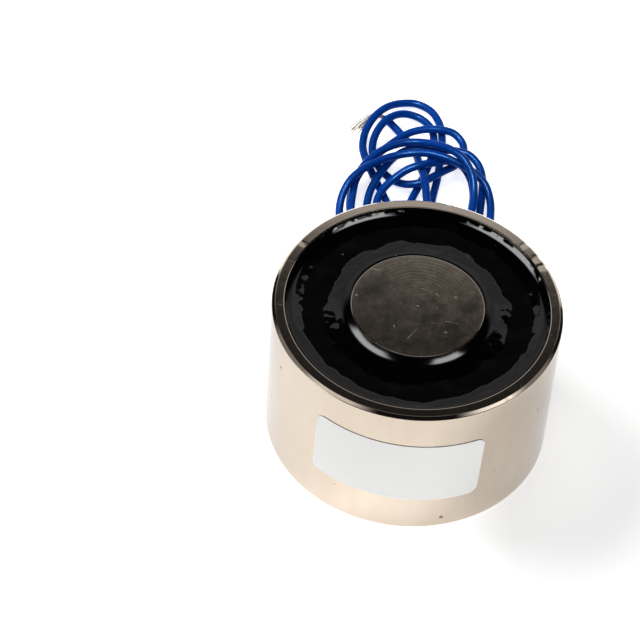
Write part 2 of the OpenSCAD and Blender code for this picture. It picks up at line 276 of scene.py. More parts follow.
# ------------------------------------------------------------------ leads
# The routes are those of the CAD solids, in millimetres.
A_INSIDE = [(-6.5, 19.5, 8), (-3.4, 20.5, 8), (-2.1, 21.2, 8), (-1.2, 22.5, 8), (-1, 24, 8), (-1, 29, 8)]
B_INSIDE = [(-x, y, z) for x, y, z in A_INSIDE]
A_ROUTE = [
    (-1, 29, 8), (-2, 33, 7), (-4.5, 37, 5), (-8, 40.5, 3), (-11, 44.5, 1.5), (-11.5, 49, 1),
    (-11.5, 52, 1.8), (-10.5, 55, 2.6), (-9, 58, 2.6), (-7.5, 61.5, 2.6), (-5, 63.5, 2.7), (-2, 64, 2.7),
    (1, 64, 2.7), (4, 64.5, 2.6), (6.5, 64, 2.5), (8.5, 62, 2), (9.5, 59.5, 1), (9.7, 56, 0.8), (9.5, 52, 0.8),
    (9.5, 48, 0.8), (8.5, 43.5, 0.8), (6, 40, 0.8), (2, 37.5, 0.8), (-3, 36.5, 0.8), (-8.5, 37, 0.8), (-13, 39.5, 0.8), (-16, 43, 0.8),
    (-16.5, 46.5, 1.5), (-16.5, 49.5, 2.8), (-15.5, 52, 4.2), (-13.5, 54.5, 4.8), (-11, 57, 4.6), (-8, 59.5, 4.4), (-4.5, 60.5, 4.7),
    (-1, 60, 5.6), (2, 59.5, 5.8), (5, 58.5, 4.8), (8, 58, 3.8), (10, 56.5, 2.8), (11.5, 53.5, 1.4), (11.5, 50, 0.8),
    (11.5, 46, 0.8), (10.5, 41.5, 0.8), (7.5, 37, 0.8), (3, 34, 0.8), (-2.5, 33, 0.8), (-8, 34, 1), (-12, 37, 2.2), (-14, 41, 2.7),
    (-14.5, 46, 2.5), (-14.5, 50, 2.5), (-14.5, 53.5, 2.7), (-13.5, 56.5, 3.4), (-11.5, 59.5, 4), (-9, 62, 4.1), (-6, 63.5, 4.3),
    (-3, 64, 4.4), (0, 62.5, 5.4), (3, 60.5, 7), (5.5, 58.5, 6.6), (7.5, 56.5, 5), (8, 53.5, 3.4), (8, 50, 2.5),
    (7.5, 47, 2.5), (5.5, 45, 2.5), (3, 44.5, 3), (0.5, 46, 3.8), (-0.5, 49, 4.4), (-1, 52, 4.6), (-1.5, 55, 4.7), (-2.5, 58.5, 2.8),
    (-3, 61.5, 1.4), (-3.5, 64, 0.8), (-5, 66.5, 0.8), (-7, 69, 0.8), (-9, 71.5, 0.8), (-10.5, 73, 0.8)]
B_ROUTE = [
    (1, 29, 8), (0.5, 33, 7), (-0.5, 37, 5.4), (-2.5, 40.5, 4), (-4, 44.5, 2.6), (-4, 48.5, 1.2),
    (-3.5, 52, 0.8), (-2.5, 55.5, 0.8), (-1.5, 59.5, 0.8), (-0.6, 64, 0.8), (-0.6, 68.5, 0.8), (-1.5, 72, 0.8), (-4, 74, 0.8),
    (-7, 74, 1.5), (-9.5, 71.5, 2.7), (-11.5, 68.5, 2.2), (-12, 65.5, 1.3), (-12, 62.5, 0.8), (-10.5, 60, 0.8), (-9, 58, 0.8),
    (-7, 56, 1), (-4.5, 55, 2), (-2, 55, 2.5), (0, 57, 2.6), (2, 59.5, 2.3), (4, 62, 0.9), (5.5, 65, 0.8), (5, 68.5, 1),
    (3, 70, 2), (0.5, 69.5, 2.5), (-2.5, 69.5, 2.4), (-5, 68.5, 2.4), (-7.5, 66, 2.4), (-9.5, 63, 2.5), (-11.5, 60.5, 2.6),
    (-13.5, 57.5, 2.1), (-14.5, 54.5, 1.1), (-15, 51, 0.8),
    (-14.5, 46.5, 0.8), (-12.5, 42.5, 0.8), (-9, 40, 0.8), (-5, 39.5, 1), (-1.5, 41.5, 2.9), (0, 45.5, 2.2), (0, 50, 0.9),
    (0.5, 54, 0.8), (1, 57.5, 0.8), (1, 61.5, 0.8), (1, 65.5, 0.8), (1, 69.5, 0.8), (0, 73.5, 0.8), (-2, 76.5, 0.8), (-5, 78, 0.8),
    (-8, 77, 0.9), (-10.5, 74.5, 2.2), (-12.5, 71.5, 2.5), (-14, 68, 1.2), (-14, 64.5, 0.8), (-13.2, 61.5, 0.8), (-11.5, 58, 0.8),
    (-10.5, 55.5, 0.8), (-9, 52.5, 0.8), (-7.5, 50, 0.8),
    (-6.5, 47, 0.8), (-4.5, 44.5, 0.8), (-1.5, 42.5, 0.8), (1.5, 41.5, 0.8), (4.5, 42.5, 0.8), (6.5, 45, 0.8), (7.5, 48.5, 0.8),
    (8, 52, 0.8), (8, 56, 0.8), (7, 59, 1.5), (5, 61, 2.8), (2.5, 61, 3.5), (0, 59, 3.5), (-2.5, 57, 5.9), (-5, 56.5, 4.1),
    (-7, 55, 3), (-9, 52.5, 2.5), (-10, 50, 1.8), (-9.5, 47, 0.8), (-8, 44.5, 0.8)]


def relax(p, k):
    return [p[0]] + [p[i] + k * ((p[i - 1] + p[i + 1]) / 2 - p[i]) for i in range(1, len(p) - 1)] + [p[-1]]


def lead_path(inside, route):
    p = [Vector(q) for q in route]
    for _ in range(2):
        p = relax(relax(p, 0.5), -0.53)
    p = [Vector((q.x, q.y, max(q.z, 0.8))) for q in p]
    return [Vector(q) for q in inside] + p[1:]


def through(p, per=6):
    """A smooth line through the points, with more points between them."""
    out = []
    for i in range(len(p) - 1):
        p0, p1, p2, p3 = p[max(i - 1, 0)], p[i], p[i + 1], p[min(i + 2, len(p) - 1)]
        d1, d0, d2 = (p2 - p1).length, max((p1 - p0).length, 1e-6), max((p3 - p2).length, 1e-6)
        m1 = ((p1 - p0) / d0 * d1 + (p2 - p1)) / (d0 + d1) * d1 if i else p2 - p1
        m2 = ((p2 - p1) / d1 * d2 + (p3 - p2) / d2 * d1) / (d1 + d2) * d1 if i < len(p) - 2 else p2 - p1
        if i:
            m1 = ((p1 - p0) / d0 * d1 + (p2 - p1) / d1 * d0) / (d0 + d1) * d1
        for k in range(per):
            t = k / per
            t2, t3 = t * t, t * t * t
            out.append(p1 * (2 * t3 - 3 * t2 + 1) + m1 * (t3 - 2 * t2 + t) + p2 * (3 * t2 - 2 * t3) + m2 * (t3 - t2))
    return out + [p[-1]]


def curve_data(name, lines, r, resolution, caps=True):
    cu = bpy.data.curves.new(name, "CURVE")
    cu.dimensions = "3D"
    cu.bevel_depth = r * MM
    cu.bevel_resolution = resolution
    cu.use_fill_caps = caps
    cu.twist_mode = "MINIMUM"
    for line in lines:
        s = cu.splines.new("POLY")
        s.points.add(len(line) - 1)
        for q, v in zip(s.points, line):
            q.co = (v[0] * MM, v[1] * MM, v[2] * MM, 1)
        s.use_smooth = True
    return cu


blue = Mat("lead_insulation", Roughness=0.25, IOR=1.5, Specular_IOR_Level=0.07, Specular_Tint=(0.25, 0.6, 1.0, 1.0))
grain = blue.noise(700, 3)
cloud = blue.noise(70, 2)
blue.set(
    Base_Color=blue.mix(blue.span(cloud, 0.3, 0.7), (0.0, 0.029, 0.20), (0.0, 0.046, 0.30)),
    Roughness=blue.span(grain, 0.2, 0.8, 0.24, 0.34),
    Normal=blue.bump(blue.noise(420, 2), 0.12, 0.00003),
)

tin = Mat("tinned_strands", Metallic=0.6, Roughness=0.3)
tin_n = tin.noise(1500, 3)
tin.set(
    Base_Color=tin.mix(tin.span(tin_n, 0.35, 0.65), (0.30, 0.23, 0.14), (0.66, 0.60, 0.50)),
    Roughness=tin.span(tin.noise(3000, 2), 0.2, 0.8, 0.22, 0.42),
    Normal=tin.bump(tin.noise(4000, 2), 0.3, 0.00002),
)


def strand_lines(p, spread, count):
    """Fine strands that leave the lead side by side, then part, curl and end at different lengths."""
    p = [Vector(q) for q in p]
    n = len(p) - 1
    lines = []
    for k in range(count):
        f = 2 * (k + 0.5) / count - 1 + 0.25 * noise.noise(Vector((k * 5.3, 0.7, 0.2)))
        lift = 0.5 + 0.5 * noise.noise(Vector((k * 2.9, 4.1, 1.7)))
        reach = 0.78 + 0.34 * (0.5 + 0.5 * noise.noise(Vector((k * 7.1, 2.2, 3.3))))
        pts = []
        m = 9
        for i in range(m + 1):
            u = i / m * reach
            g = min(u, 1.0) * n
            j = min(int(g), n - 1)
            q = p[j] + (p[j + 1] - p[j]) * (u * n - j)
            t = (p[min(j + 1, n)] - p[max(j, 0)]).normalized()
            side = Vector((0, 0, 1)).cross(t).normalized()
            w = 0.3 + spread * max(0.0, u - 0.25) ** 1.3
            curl = 0.35 * max(0.0, u - 0.3) * noise.noise(Vector((k * 3.7, i * 0.55, 2.0)))
            v = q + side * (f * w + curl)
            z = q.z + 0.3 * math.cos(k * 2.4) * (1 - u) + (0.1 + 0.7 * lift) * max(0.0, u - 0.2) * (1.05 - 0.5 * u)
            pts.append(Vector((v.x, v.y, min(max(z, 0.12), 1.55))))
        lines.append(through(pts, 3))
    return lines


a_path = lead_path(A_INSIDE, A_ROUTE)
b_path = lead_path(B_INSIDE, B_ROUTE)
a_line, b_line = through(a_path), through(b_path)
lead_a = add_object("lead_a_cord", curve_data("lead_a_cord", [a_line], 0.75, 8), [blue.mat], ["lead_a"])
lead_b = add_object("lead_b_cord", curve_data("lead_b_cord", [b_line], 0.75, 8), [blue.mat], ["lead_b"])
A_STRANDS = [(-10.3, 72.8, 0.8), (-12, 73.7, 0.72), (-13.4, 73, 0.6), (-14.8, 71, 0.45), (-16, 68.6, 0.14)]
B_STRANDS = [(-8.1, 44.7, 0.8), (-7.3, 43.3, 0.7), (-6.7, 42.4, 0.5), (-6, 41.6, 0.14)]
strands_a = add_object("lead_a_bare_end", curve_data("lead_a_bare_end", strand_lines(A_STRANDS, 1.7, 11), 0.085, 2), [tin.mat], ["lead_a_strands"])
strands_b = add_object("lead_b_bare_end", curve_data("lead_b_bare_end", strand_lines(B_STRANDS, 0.8, 11), 0.085, 2), [tin.mat], ["lead_b_strands"])

# ------------------------------------------------------------------ lead bush
rubber = Mat("grommet_rubber", Roughness=0.6, IOR=1.5)
rub_n = rubber.noise(500, 4)
rubber.set(
    Base_Color=rubber.mix(rubber.span(rub_n, 0.3, 0.7), (0.010, 0.010, 0.011), (0.022, 0.022, 0.023)),
    Roughness=rubber.span(rubber.noise(1200, 3), 0.2, 0.8, 0.5, 0.75),
    Normal=rubber.bump(rubber.noise(2500, 3), 0.4, 0.00004),
)
# profile in (radius, distance along +Y from y = 23.5)
bush_profile = rounded(
    [(0, 0, 0), (2.73, 0, 0), (2.73, 1.5, 0), (3.8, 1.5, 0), (3.8, 2.4, 0), (3.55, 2.8, 0), (2.9, 2.9, 0), (2.78, 3.4, 0), (2.62, 3.42, 0), (2.58, 3.7, 0), (2.68, 3.75, 0), (2.6, 4.1, 0), (2.46, 4.14, 0), (2.42, 4.4, 0),
     (2.5, 4.45, 0), (2.4, 4.9, 0), (0, 4.9, 0)], 0.1)
v, f, _ = lathe(bush_profile, 96)
v = [(x, 23.5 + z, 8 + y) for x, y, z in v]
# the flange lies on the round of the wall
v = [(x, max(y, math.sqrt(625 - x * x) + 0.01) if math.hypot(x, z - 8) > 2.76 and y < 25.6 else y, z) for x, y, z in v]
bush = add_object("lead_bush", make_mesh("lead_bush", v, f), [rubber.mat], ["lead_grommet"])
for x in (-1, 1):
    tv, tf, _ = lathe([(0, 0, 0), (0.79, 0, 0), (0.79, 8, 0), (0, 8, 0)], 48)
    cut(bush, make_mesh("bore", [(x + a, 22 + c, 8 + b) for a, b, c in tv], tf))

# ------------------------------------------------------------------ steel body
SIDE, FACE, BORE = 0, 1, 2
R, H, RIN, RP = 25.0, 30.0, 22.8, 11.5
top = rounded(
    [(2.7, 0, SIDE), (R - 0.5, 0, SIDE), (R, 0.5, SIDE), (R, H - 0.5, FACE, 0.12), (R - 0.6, H, FACE, 0.06), (RIN + 0.15, H, FACE, 0.04), (RIN, H - 0.05, FACE, 0.02), (RIN, H - 1.0, BORE), (RIN, 5, BORE),
     (RP, 5, BORE), (RP, H - 0.05, FACE, 0.02), (RP - 0.15, H, FACE, 0.04), (0.22, H, FACE, 0.03), (0.06, H - 0.02, FACE, 0.03), (0, H - 0.02, FACE)], 0.08)
PITCH = 0.8
turns = int((12 - 0.6) / PITCH)
bore_rows = [(2.1, 0.6 + i * PITCH / 6, BORE) for i in range(turns * 6 + 1)]
profile = [(0, 13.26, BORE), (2.1, 12, BORE)] + bore_rows[::-1] + split(top, 3.0)


# small nicks in the rim's outer edge: angle from the front, width and depth
NICKS = [(120.2, 0.7, 0.34), (125.2, 0.9, 0.26), (133.8, 0.5, 0.16), (43.0, 0.4, 0.08), (-118, 0.6, 0.10), (172, 0.5, 0.10)]


def thread(r, a, z):
    if r > 24 and z > 29:
        th = math.degrees(math.atan2(math.cos(a), -math.sin(a)))
        d = sum(k * math.exp(-((th - t) / w) ** 2) for t, w, k in NICKS)
        return r - d * (r - 24), z - 0.7 * d * (r - 24)
    if r < 2.2 and 0.55 < z < 11.9:
        ends = min(1.0, (z - 0.6) / 0.5, (11.75 - z) / 0.8)
        u = (z / PITCH - a / TAU) % 1.0
        return r + max(0.0, ends) * 0.36 * (1 - abs(2 * u - 1)), z
    return r, z


# material: polished nickel on the wall, with a few pits and faint smears
nickel = Mat("nickel_plating", Metallic=1.0, Roughness=0.1, Specular_Tint=(0.80, 0.81, 0.83, 1.0))
around = nickel.vec(nickel.m("MULTIPLY", nickel.angle(), 0.025), 0.0, nickel.xyz()[2])
smear = nickel.noise(160, 4, 0.6, nickel.scaled(nickel.obj(), (1, 1, 0.35)))
spots = nickel.cells(330)
pick = nickel.noise(210, 2)
pit = nickel.m("MULTIPLY", nickel.span(spots, 0.16, 0.1), nickel.span(pick, 0.60, 0.64))
hair = nickel.noise(1, 2, 0.5, nickel.scaled(nickel.obj(), (420, 420, 2600)))
nickel.set(
    Base_Color=nickel.mix(pit, nickel.mix(nickel.span(smear, 0.35, 0.7), (0.60, 0.505, 0.41), (0.635, 0.55, 0.455)), (0.26, 0.21, 0.17)),
    Roughness=nickel.m("ADD", nickel.span(smear, 0.3, 0.75, 0.07, 0.15), nickel.m("MULTIPLY", pit, 0.4)),
    Normal=nickel.bump(nickel.m("SUBTRACT", nickel.m("MULTIPLY", hair, 0.05), pit), 0.25, 0.00004),
)

# material: turned faces of rim and pole, darker, with tool rings, scratches and flakes of plating
turned = Mat("turned_faces", Metallic=1.0, Roughness=0.12)
rad, ang = turned.radius(), turned.angle()
tx, ty, tz = turned.xyz()
wob = turned.m("ADD", rad, turned.m("MULTIPLY", turned.noise(45, 2), 0.0005))
rings = turned.m("SINE", turned.m("MULTIPLY", wob, TAU / 0.00072))
ring_noise = turned.noise(1, 2, 0.5, turned.vec(turned.m("MULTIPLY", wob, 2400.0), turned.m("MULTIPLY", ang, 0.8), 0.0))
mottle = turned.noise(520, 5, 0.7)
patches = turned.noise(150, 3, 0.6)
scr_a = turned.noise(1, 2, 0.6, turned.scaled(turned.obj(), (160, 2600, 100)), 0.6)
scr_b = turned.noise(1, 2, 0.6, turned.scaled(turned.obj(), (2300, 260, 100)), 0.8)
scratch = turned.m("MAXIMUM", turned.span(scr_a, 0.72, 0.80, 0.0, 0.6), turned.span(scr_b, 0.72, 0.80, 0.0, 0.6))
specks = turned.m("MULTIPLY", turned.span(turned.cells(620), 0.22, 0.1), turned.span(turned.noise(430, 1), 0.61, 0.66, 0.0, 0.6))


def stroke(mat, a, b, w):
    """A mark along a line on the top face, from a to b in millimetres, that tapers towards b."""
    dx, dy = (b[0] - a[0]) * MM, (b[1] - a[1]) * MM
    ll = dx * dx + dy * dy
    px, py = mat.m("SUBTRACT", tx, a[0] * MM), mat.m("SUBTRACT", ty, a[1] * MM)
    t = mat.m("DIVIDE", mat.m("ADD", mat.m("MULTIPLY", px, dx), mat.m("MULTIPLY", py, dy)), ll, clamp=True)
    ex, ey = mat.m("SUBTRACT", px, mat.m("MULTIPLY", t, dx)), mat.m("SUBTRACT", py, mat.m("MULTIPLY", t, dy))
    d = mat.m("SQRT", mat.m("ADD", mat.m("MULTIPLY", ex, ex), mat.m("MULTIPLY", ey, ey)))
    return mat.span(mat.m("ADD", d, mat.m("MULTIPLY", t, w * MM * 0.7)), w * MM, w * MM * 0.5)


marks = stroke(turned, (-9.0, 7.1), (-7.0, 7.0), 0.2)
for a, b, w in (((-3.6, -5.2), (-3.5, -5.9), 0.16), ((2.9, 3.0), (3.6, 2.3), 0.13), ((5.0, -2.9), (7.4, -3.2), 0.06), ((-1.1, -7.8), (0.4, -5.2), 0.06), ((0.3, 3.9), (1.4, 3.6), 0.11)):
    marks = turned.m("MAXIMUM", marks, stroke(turned, a, b, w))
on_wall = turned.span(rad, 0.0233, 0.0231)


def smudge(x, y, r, k):
    """A soft stain on the pole face, in millimetres, with a ragged outline."""
    ex, ey = turned.m("SUBTRACT", tx, x * MM), turned.m("SUBTRACT", ty, y * MM)
    d = turned.m("SQRT", turned.m("ADD", turned.m("MULTIPLY", ex, ex), turned.m("MULTIPLY", ey, ey)))
    d = turned.m("ADD", d, turned.m("MULTIPLY", turned.m("SUBTRACT", smear_n, 0.5), 0.005))
    return turned.span(d, r * MM, r * MM * 0.25, 0.0, k, smooth=True)


smear_n = turned.noise(260, 4, 0.65)
stain = smudge(-8.0, 3.6, 3.9, 0.72)
for x, y, r, k in ((8.5, 1.0, 3.0, 0.6), (6.4, -5.4, 3.2, 0.65), (2.6, -2.9, 2.4, 0.5), (-4.5, -4.6, 3.0, 0.35), (-1.0, -9.2, 2.2, 0.4)):
    stain = turned.m("MAXIMUM", stain, smudge(x, y, r, k))
zone = turned.m("MAXIMUM",
                turned.m("MULTIPLY", turned.span(ang, 2.12, 2.25), turned.span(ang, 2.84, 2.70)),
                turned.m("MULTIPLY", turned.span(ang, -2.86, -2.80), turned.span(ang, -2.56, -2.64)))
fleck = turned.noise(1, 3, 0.6, turned.vec(turned.m("MULTIPLY", ang, 34.0), turned.m("MULTIPLY", tz, 1900.0), turned.m("MULTIPLY", rad, 1900.0)))
inner = turned.m("MULTIPLY", turned.span(rad, 0.0221, 0.0226), turned.m("MULTIPLY", on_wall, turned.span(tz, 0.0292, 0.0295)))
chips = turned.m("MULTIPLY", turned.m("MULTIPLY", inner, zone), turned.span(fleck, 0.54, 0.60))
is_rim = turned.span(rad, 0.018, 0.019)
face_col = turned.mix(turned.span(mottle, 0.3, 0.72), (0.49, 0.41, 0.33), (0.63, 0.53, 0.43))
face_col = turned.mix(turned.span(patches, 0.35, 0.68, 0.0, 0.35), face_col, (0.40, 0.37, 0.33))
face_col = turned.mix(turned.m("MULTIPLY", is_rim, 0.4), face_col, (0.76, 0.65, 0.55))
face_col = turned.mix(stain, face_col, (0.30, 0.265, 0.235))
light = turned.m("MAXIMUM", scratch, turned.m("MAXIMUM", marks, specks))
turned.set(
    Base_Color=turned.mix(chips, turned.mix(turned.m("MULTIPLY", light, 0.6), face_col, (0.85, 0.80, 0.72)), (0.93, 0.86, 0.72)),
    Roughness=turned.m("ADD", turned.m("SUBTRACT", turned.span(mottle, 0.3, 0.75, 0.075, 0.12), turned.m("MULTIPLY", is_rim, 0.045)),
                       turned.m("ADD", turned.m("MULTIPLY", light, 0.25), turned.m("MULTIPLY", chips, 0.4))),
    Normal=turned.bump(
        turned.m("ADD", turned.m("ADD", turned.m("MULTIPLY", turned.m("MULTIPLY", rings, turned.span(rad, 0.001, 0.005)), turned.m("SUBTRACT", 0.07, turned.m("MULTIPLY", is_rim, 0.04))), turned.m("MULTIPLY", ring_noise, 0.25)),
                 turned.m("ADD", turned.m("MULTIPLY", light, 1.5), turned.m("MULTIPLY", chips, 4.0))), 0.12, 0.00002),
)

steel_in = Mat("bare_steel", Metallic=1.0, Roughness=0.35)
steel_in.set(
    Base_Color=steel_in.mix(steel_in.span(steel_in.noise(400, 4), 0.3, 0.7), (0.36, 0.34, 0.31), (0.52, 0.50, 0.46)),
    Roughness=steel_in.span(steel_in.noise(900, 3), 0.2, 0.8, 0.28, 0.45),
    Normal=steel_in.bump(steel_in.noise(2200, 3), 0.3, 0.00003),
)
v, f, tags = lathe(profile, 320, thread)
body = add_object("steel_pot", make_mesh("steel_pot", v, f, tags), [nickel.mat, turned.mat, steel_in.mat], ["magnet_body"])
tv, tf, _ = lathe([(0, 0, 0), (2.75, 0, 0), (2.75, 8, 0), (0, 8, 0)], 64)
cut(body, make_mesh("lead_hole", [(a, 20.5 + c, 8 + b) for a, b, c in tv], tf))

# ------------------------------------------------------------------ casting resin
Z0 = 28.2


def slope(d, w, k):
    """Height of a creeping edge: 1 at the steel, 0 from w on, with the share k straight and the rest curved."""
    u = max(0.0, 1 - d / w)
    return k * u + (1 - k) * u * u


def wave(r, a, z):
    """Top of the resin: it creeps up the pole and the wall with ragged skirts, and is a little wavy between."""
    if z < 27:
        return r, z
    x, y = r * math.cos(a), r * math.sin(a)
    dp, dr = r - RP, RIN - r
    big = noise.noise(Vector((x * 0.16, y * 0.16, 3.1)))
    mid = noise.noise(Vector((x * 0.45, y * 0.45, 7.7)))
    small = noise.noise(Vector((x * 1.15, y * 1.15, 1.3)))
    rag = 0.26 * big + 0.17 * mid + 0.05 * small
    far_p = max(0.0, min(1.0, (dp - 1.5) / 1.2))
    far_r = max(0.0, min(1.0, (dr - 1.4) / 0.9))
    h = 1.02 * slope(dp, 4.4 * (1 + rag * far_p), 0.7) + 0.34 * slope(dp, 1.7, 0.0)
    h += 0.68 * slope(dr, 2.95 * (1 + rag * far_r), 0.7) + 0.42 * slope(dr, 1.5, 0.0)
    h += 0.16 * small * slope(dr, 0.45, 0.5)
    calm = max(0.0, min(1.0, dp / 2, dr / 2))
    ripple = 0.008 * noise.noise(Vector((x * 0.3, y * 0.3, 5.0)))
    return r, min(Z0 + h + calm * (ripple + 0.014 * (r - 17)), 29.6)


steps = [5.55 * k / 30 for k in range(31)]
up = [(RP + d, 29, 0) for d in steps]
down = [(RIN - d, 29, 0) for d in steps[::-1]]
ring = up + down + [(RIN, 5, 0), (22.2, 5, 0), (22.2, 6.2, 0), (18.9, 6.2, 0), (18.9, 25.2, 0), (22.2, 25.2, 0), (22.2, 26.4, 0), (RP, 26.4, 0)]
v, f, _ = lathe(ring, 420, wave, closed=True)
resin = Mat("casting_resin", Roughness=0.06, IOR=1.52)
res_n = resin.noise(260, 3)
dust = resin.m("MULTIPLY", resin.span(resin.cells(420), 0.10, 0.04), resin.span(resin.noise(150, 1), 0.63, 0.66))
resin.set(
    Base_Color=resin.mix(dust, resin.mix(resin.span(res_n, 0.3, 0.7), (0.0002, 0.0002, 0.0002), (0.0004, 0.0004, 0.0004)), (0.07, 0.07, 0.07)),
    Roughness=resin.m("ADD", resin.m("ADD", resin.span(resin.noise(500, 4), 0.3, 0.8, 0.03, 0.08), resin.span(resin.radius(), 0.0136, 0.0121, 0.0, 0.05)), resin.m("MULTIPLY", dust, 0.4)),
    Normal=resin.bump(resin.m("ADD", resin.m("MULTIPLY", resin.noise(330, 2), 1.0), resin.m("MULTIPLY", dust, 1.2)), 0.06, 0.00006),
)
resin_ring = add_object("resin_ring", make_mesh("resin_ring", v, f, sharp=50), [resin.mat], ["potting_resin"])

# ------------------------------------------------------------------ sticker
film = Mat("label_film", Roughness=0.38, IOR=1.45)
film_n = film.noise(900, 4)
film.set(
    Base_Color=film.mix(film.span(film.noise(120, 3), 0.3, 0.7), (0.80, 0.80, 0.785), (0.82, 0.815, 0.80)),
    Roughness=film.span(film_n, 0.25, 0.75, 0.32, 0.46),
    Normal=film.bump(film.noise(2600, 3), 0.15, 0.00002),
)
W, HL, TILT, CX, CZ, CORNER = 30.2, 14.4, math.radians(1.6), -0.65, 15.5, 1.6


def label_point(u, w, r):
    """u runs along the wall and w up it, from the sticker's middle."""
    s = u * math.cos(TILT) + w * math.sin(TILT) + CX
    z = -u * math.sin(TILT) + w * math.cos(TILT) + CZ
    a = s / R
    return (r * math.sin(a), -r * math.cos(a), z)


def outline(inset):
    w, h, c = W / 2 - inset, HL / 2 - inset, CORNER - inset
    pts = []
    for cx, cy, a0 in ((w - c, h - c, 0), (-w + c, h - c, 90), (-w + c, -h + c, 180), (w - c, -h + c, 270)):
        pts += [(cx + c * math.cos(math.radians(a0 + 90 * k / 10)), cy + c * math.sin(math.radians(a0 + 90 * k / 10))) for k in range(11)]
    return pts


def along(pts, step):
    out = []
    for i, a in enumerate(pts):
        b = pts[(i + 1) % len(pts)]
        k = max(1, math.ceil(math.dist(a, b) / step))
        out += [(a[0] + (b[0] - a[0]) * j / k, a[1] + (b[1] - a[1]) * j / k) for j in range(k)]
    return out


T = 0.12
loop0 = along(outline(0.0), 0.5)
n = len(loop0)
lv, lf = [], []
# the edge goes up from the wall, is a little rounded, and meets the flat of the film
rows = [(0.0, 0.005), (0.0, T * 0.6), (0.02, T * 0.9), (0.06, T), (0.3, T)]
for inset, t in rows:
    k = 1 - inset / CORNER
    for u, w in loop0:
        su, sw = math.copysign(1, u), math.copysign(1, w)
        lv.append(label_point(u * (1 - 2 * inset / W), w * (1 - 2 * inset / HL), R + t))
for i in range(len(rows) - 1):
    for k in range(n):
        lf.append([i * n + k, i * n + (k + 1) % n, (i + 1) * n + (k + 1) % n, (i + 1) * n + k])
# front and back faces, as columns from edge to edge
cols = 60
base = (len(rows) - 1) * n


def fill(start, t, inset):
    """Closes a loop with narrow upright strips that follow the wall."""
    bm_ids = list(range(start, start + n))
    us = [loop0[k][0] for k in range(n)]
    top_side = sorted((k for k in range(n) if loop0[k][1] >= 0), key=lambda k: loop0[k][0])
    low_side = sorted((k for k in range(n) if loop0[k][1] < 0), key=lambda k: loop0[k][0])
    i = j = 0
    while i < len(top_side) - 1 or j < len(low_side) - 1:
        a, b = bm_ids[top_side[i]], bm_ids[low_side[j]]
        if j == len(low_side) - 1 or (i < len(top_side) - 1 and us[top_side[i + 1]] <= us[low_side[j + 1]]):
            i += 1
            lf.append([a, b, bm_ids[top_side[i]]])
        else:
            j += 1
            lf.append([a, b, bm_ids[low_side[j]]])


fill(base, T, 0.3)
fill(0, 0.005, 0.0)
# the sticker's upright edge is painted dark: partly dirt along the edge, partly painted shade there
edge_shade_and_dirt = Mat("label_edge", Roughness=0.6)
edge_shade_and_dirt.set(
    Base_Color=edge_shade_and_dirt.mix(edge_shade_and_dirt.span(edge_shade_and_dirt.noise(700, 3), 0.3, 0.7), (0.13, 0.115, 0.095), (0.34, 0.32, 0.28)),
    Roughness=edge_shade_and_dirt.span(edge_shade_and_dirt.noise(1500, 2), 0.2, 0.8, 0.5, 0.7),
    Normal=edge_shade_and_dirt.bump(edge_shade_and_dirt.noise(3000, 2), 0.2, 0.00002),
)
edge_faces = [1 if k < 2 * n else 0 for k in range(len(lf))]
label = add_object("blank_sticker", make_mesh("blank_sticker", lv, lf, edge_faces, sharp=40), [film.mat, edge_shade_and_dirt.mat], ["rating_label"])


# ------------------------------------------------------------------ pieces inside
def finish_node(name, mat):
    o = nodes[name]
    o.data.materials.clear()
    o.data.materials.append(mat.mat)
    for p in o.data.polygons:
        p.material_index = 0


former = Mat("bobbin_plastic", Roughness=0.5)
former.set(
    Base_Color=former.mix(former.span(former.noise(200, 3), 0.3, 0.7), (0.66, 0.63, 0.53), (0.72, 0.69, 0.60)),
    Roughness=former.span(former.noise(700, 3), 0.2, 0.8, 0.42, 0.6),
    Normal=former.bump(former.noise(1800, 2), 0.2, 0.00003),
)
copper = Mat("enamelled_copper", Metallic=1.0, Roughness=0.25)
turnsz = copper.m("SINE", copper.m("MULTIPLY", copper.xyz()[2], TAU / 0.0005))
copper.set(
    Base_Color=copper.mix(copper.span(copper.noise(300, 3), 0.3, 0.7), (0.46, 0.17, 0.055), (0.60, 0.25, 0.09)),
    Roughness=copper.span(copper.noise(800, 2), 0.2, 0.8, 0.2, 0.34),
    Normal=copper.bump(turnsz, 0.6, 0.0001),
)
tape = Mat("film_tape", Roughness=0.35)
tape.set(
    Base_Color=tape.mix(tape.span(tape.noise(220, 3), 0.3, 0.7), (0.70, 0.44, 0.03), (0.80, 0.54, 0.06)),
    Roughness=tape.span(tape.noise(900, 3), 0.2, 0.8, 0.28, 0.45),
    Normal=tape.bump(tape.noise(1200, 2), 0.2, 0.00003),
)
solder = Mat("solder", Metallic=1.0, Roughness=0.4)
solder.set(
    Base_Color=solder.mix(solder.span(solder.noise(900, 3), 0.3, 0.7), (0.48, 0.49, 0.51), (0.62, 0.63, 0.65)),
    Roughness=solder.span(solder.noise(1500, 3), 0.2, 0.8, 0.3, 0.5),
    Normal=solder.bump(solder.noise(2200, 3), 0.4, 0.00005),
)
sleeve = Mat("sleeving", Roughness=0.55)
sleeve.set(
    Base_Color=sleeve.mix(sleeve.span(sleeve.noise(600, 3), 0.3, 0.7), (0.010, 0.010, 0.011), (0.020, 0.020, 0.021)),
    Roughness=sleeve.span(sleeve.noise(1500, 3), 0.2, 0.8, 0.45, 0.65),
    Normal=sleeve.bump(sleeve.noise(2600, 2), 0.3, 0.00003),
)
for name, mat in (("coil_bobbin", former), ("coil_winding", copper), ("winding_tape", tape), ("start_tail", copper), ("finish_tail", copper),
                  ("solder_joint_a", solder), ("solder_joint_b", solder), ("splice_sleeve_a", sleeve), ("splice_sleeve_b", sleeve)):
    finish_node(name, mat)

# ------------------------------------------------------------------ floor and light
# a white sheet that glows a little all over, with painted pools of light on it: a ring before and beside the body and a
# patch among the leads, which lift the shade there and brighten what the steel wall reflects
floor_mat = Mat("pale_floor", Roughness=0.9, Specular_IOR_Level=0.2, Emission_Color=(1.0, 1.0, 1.0, 1.0))
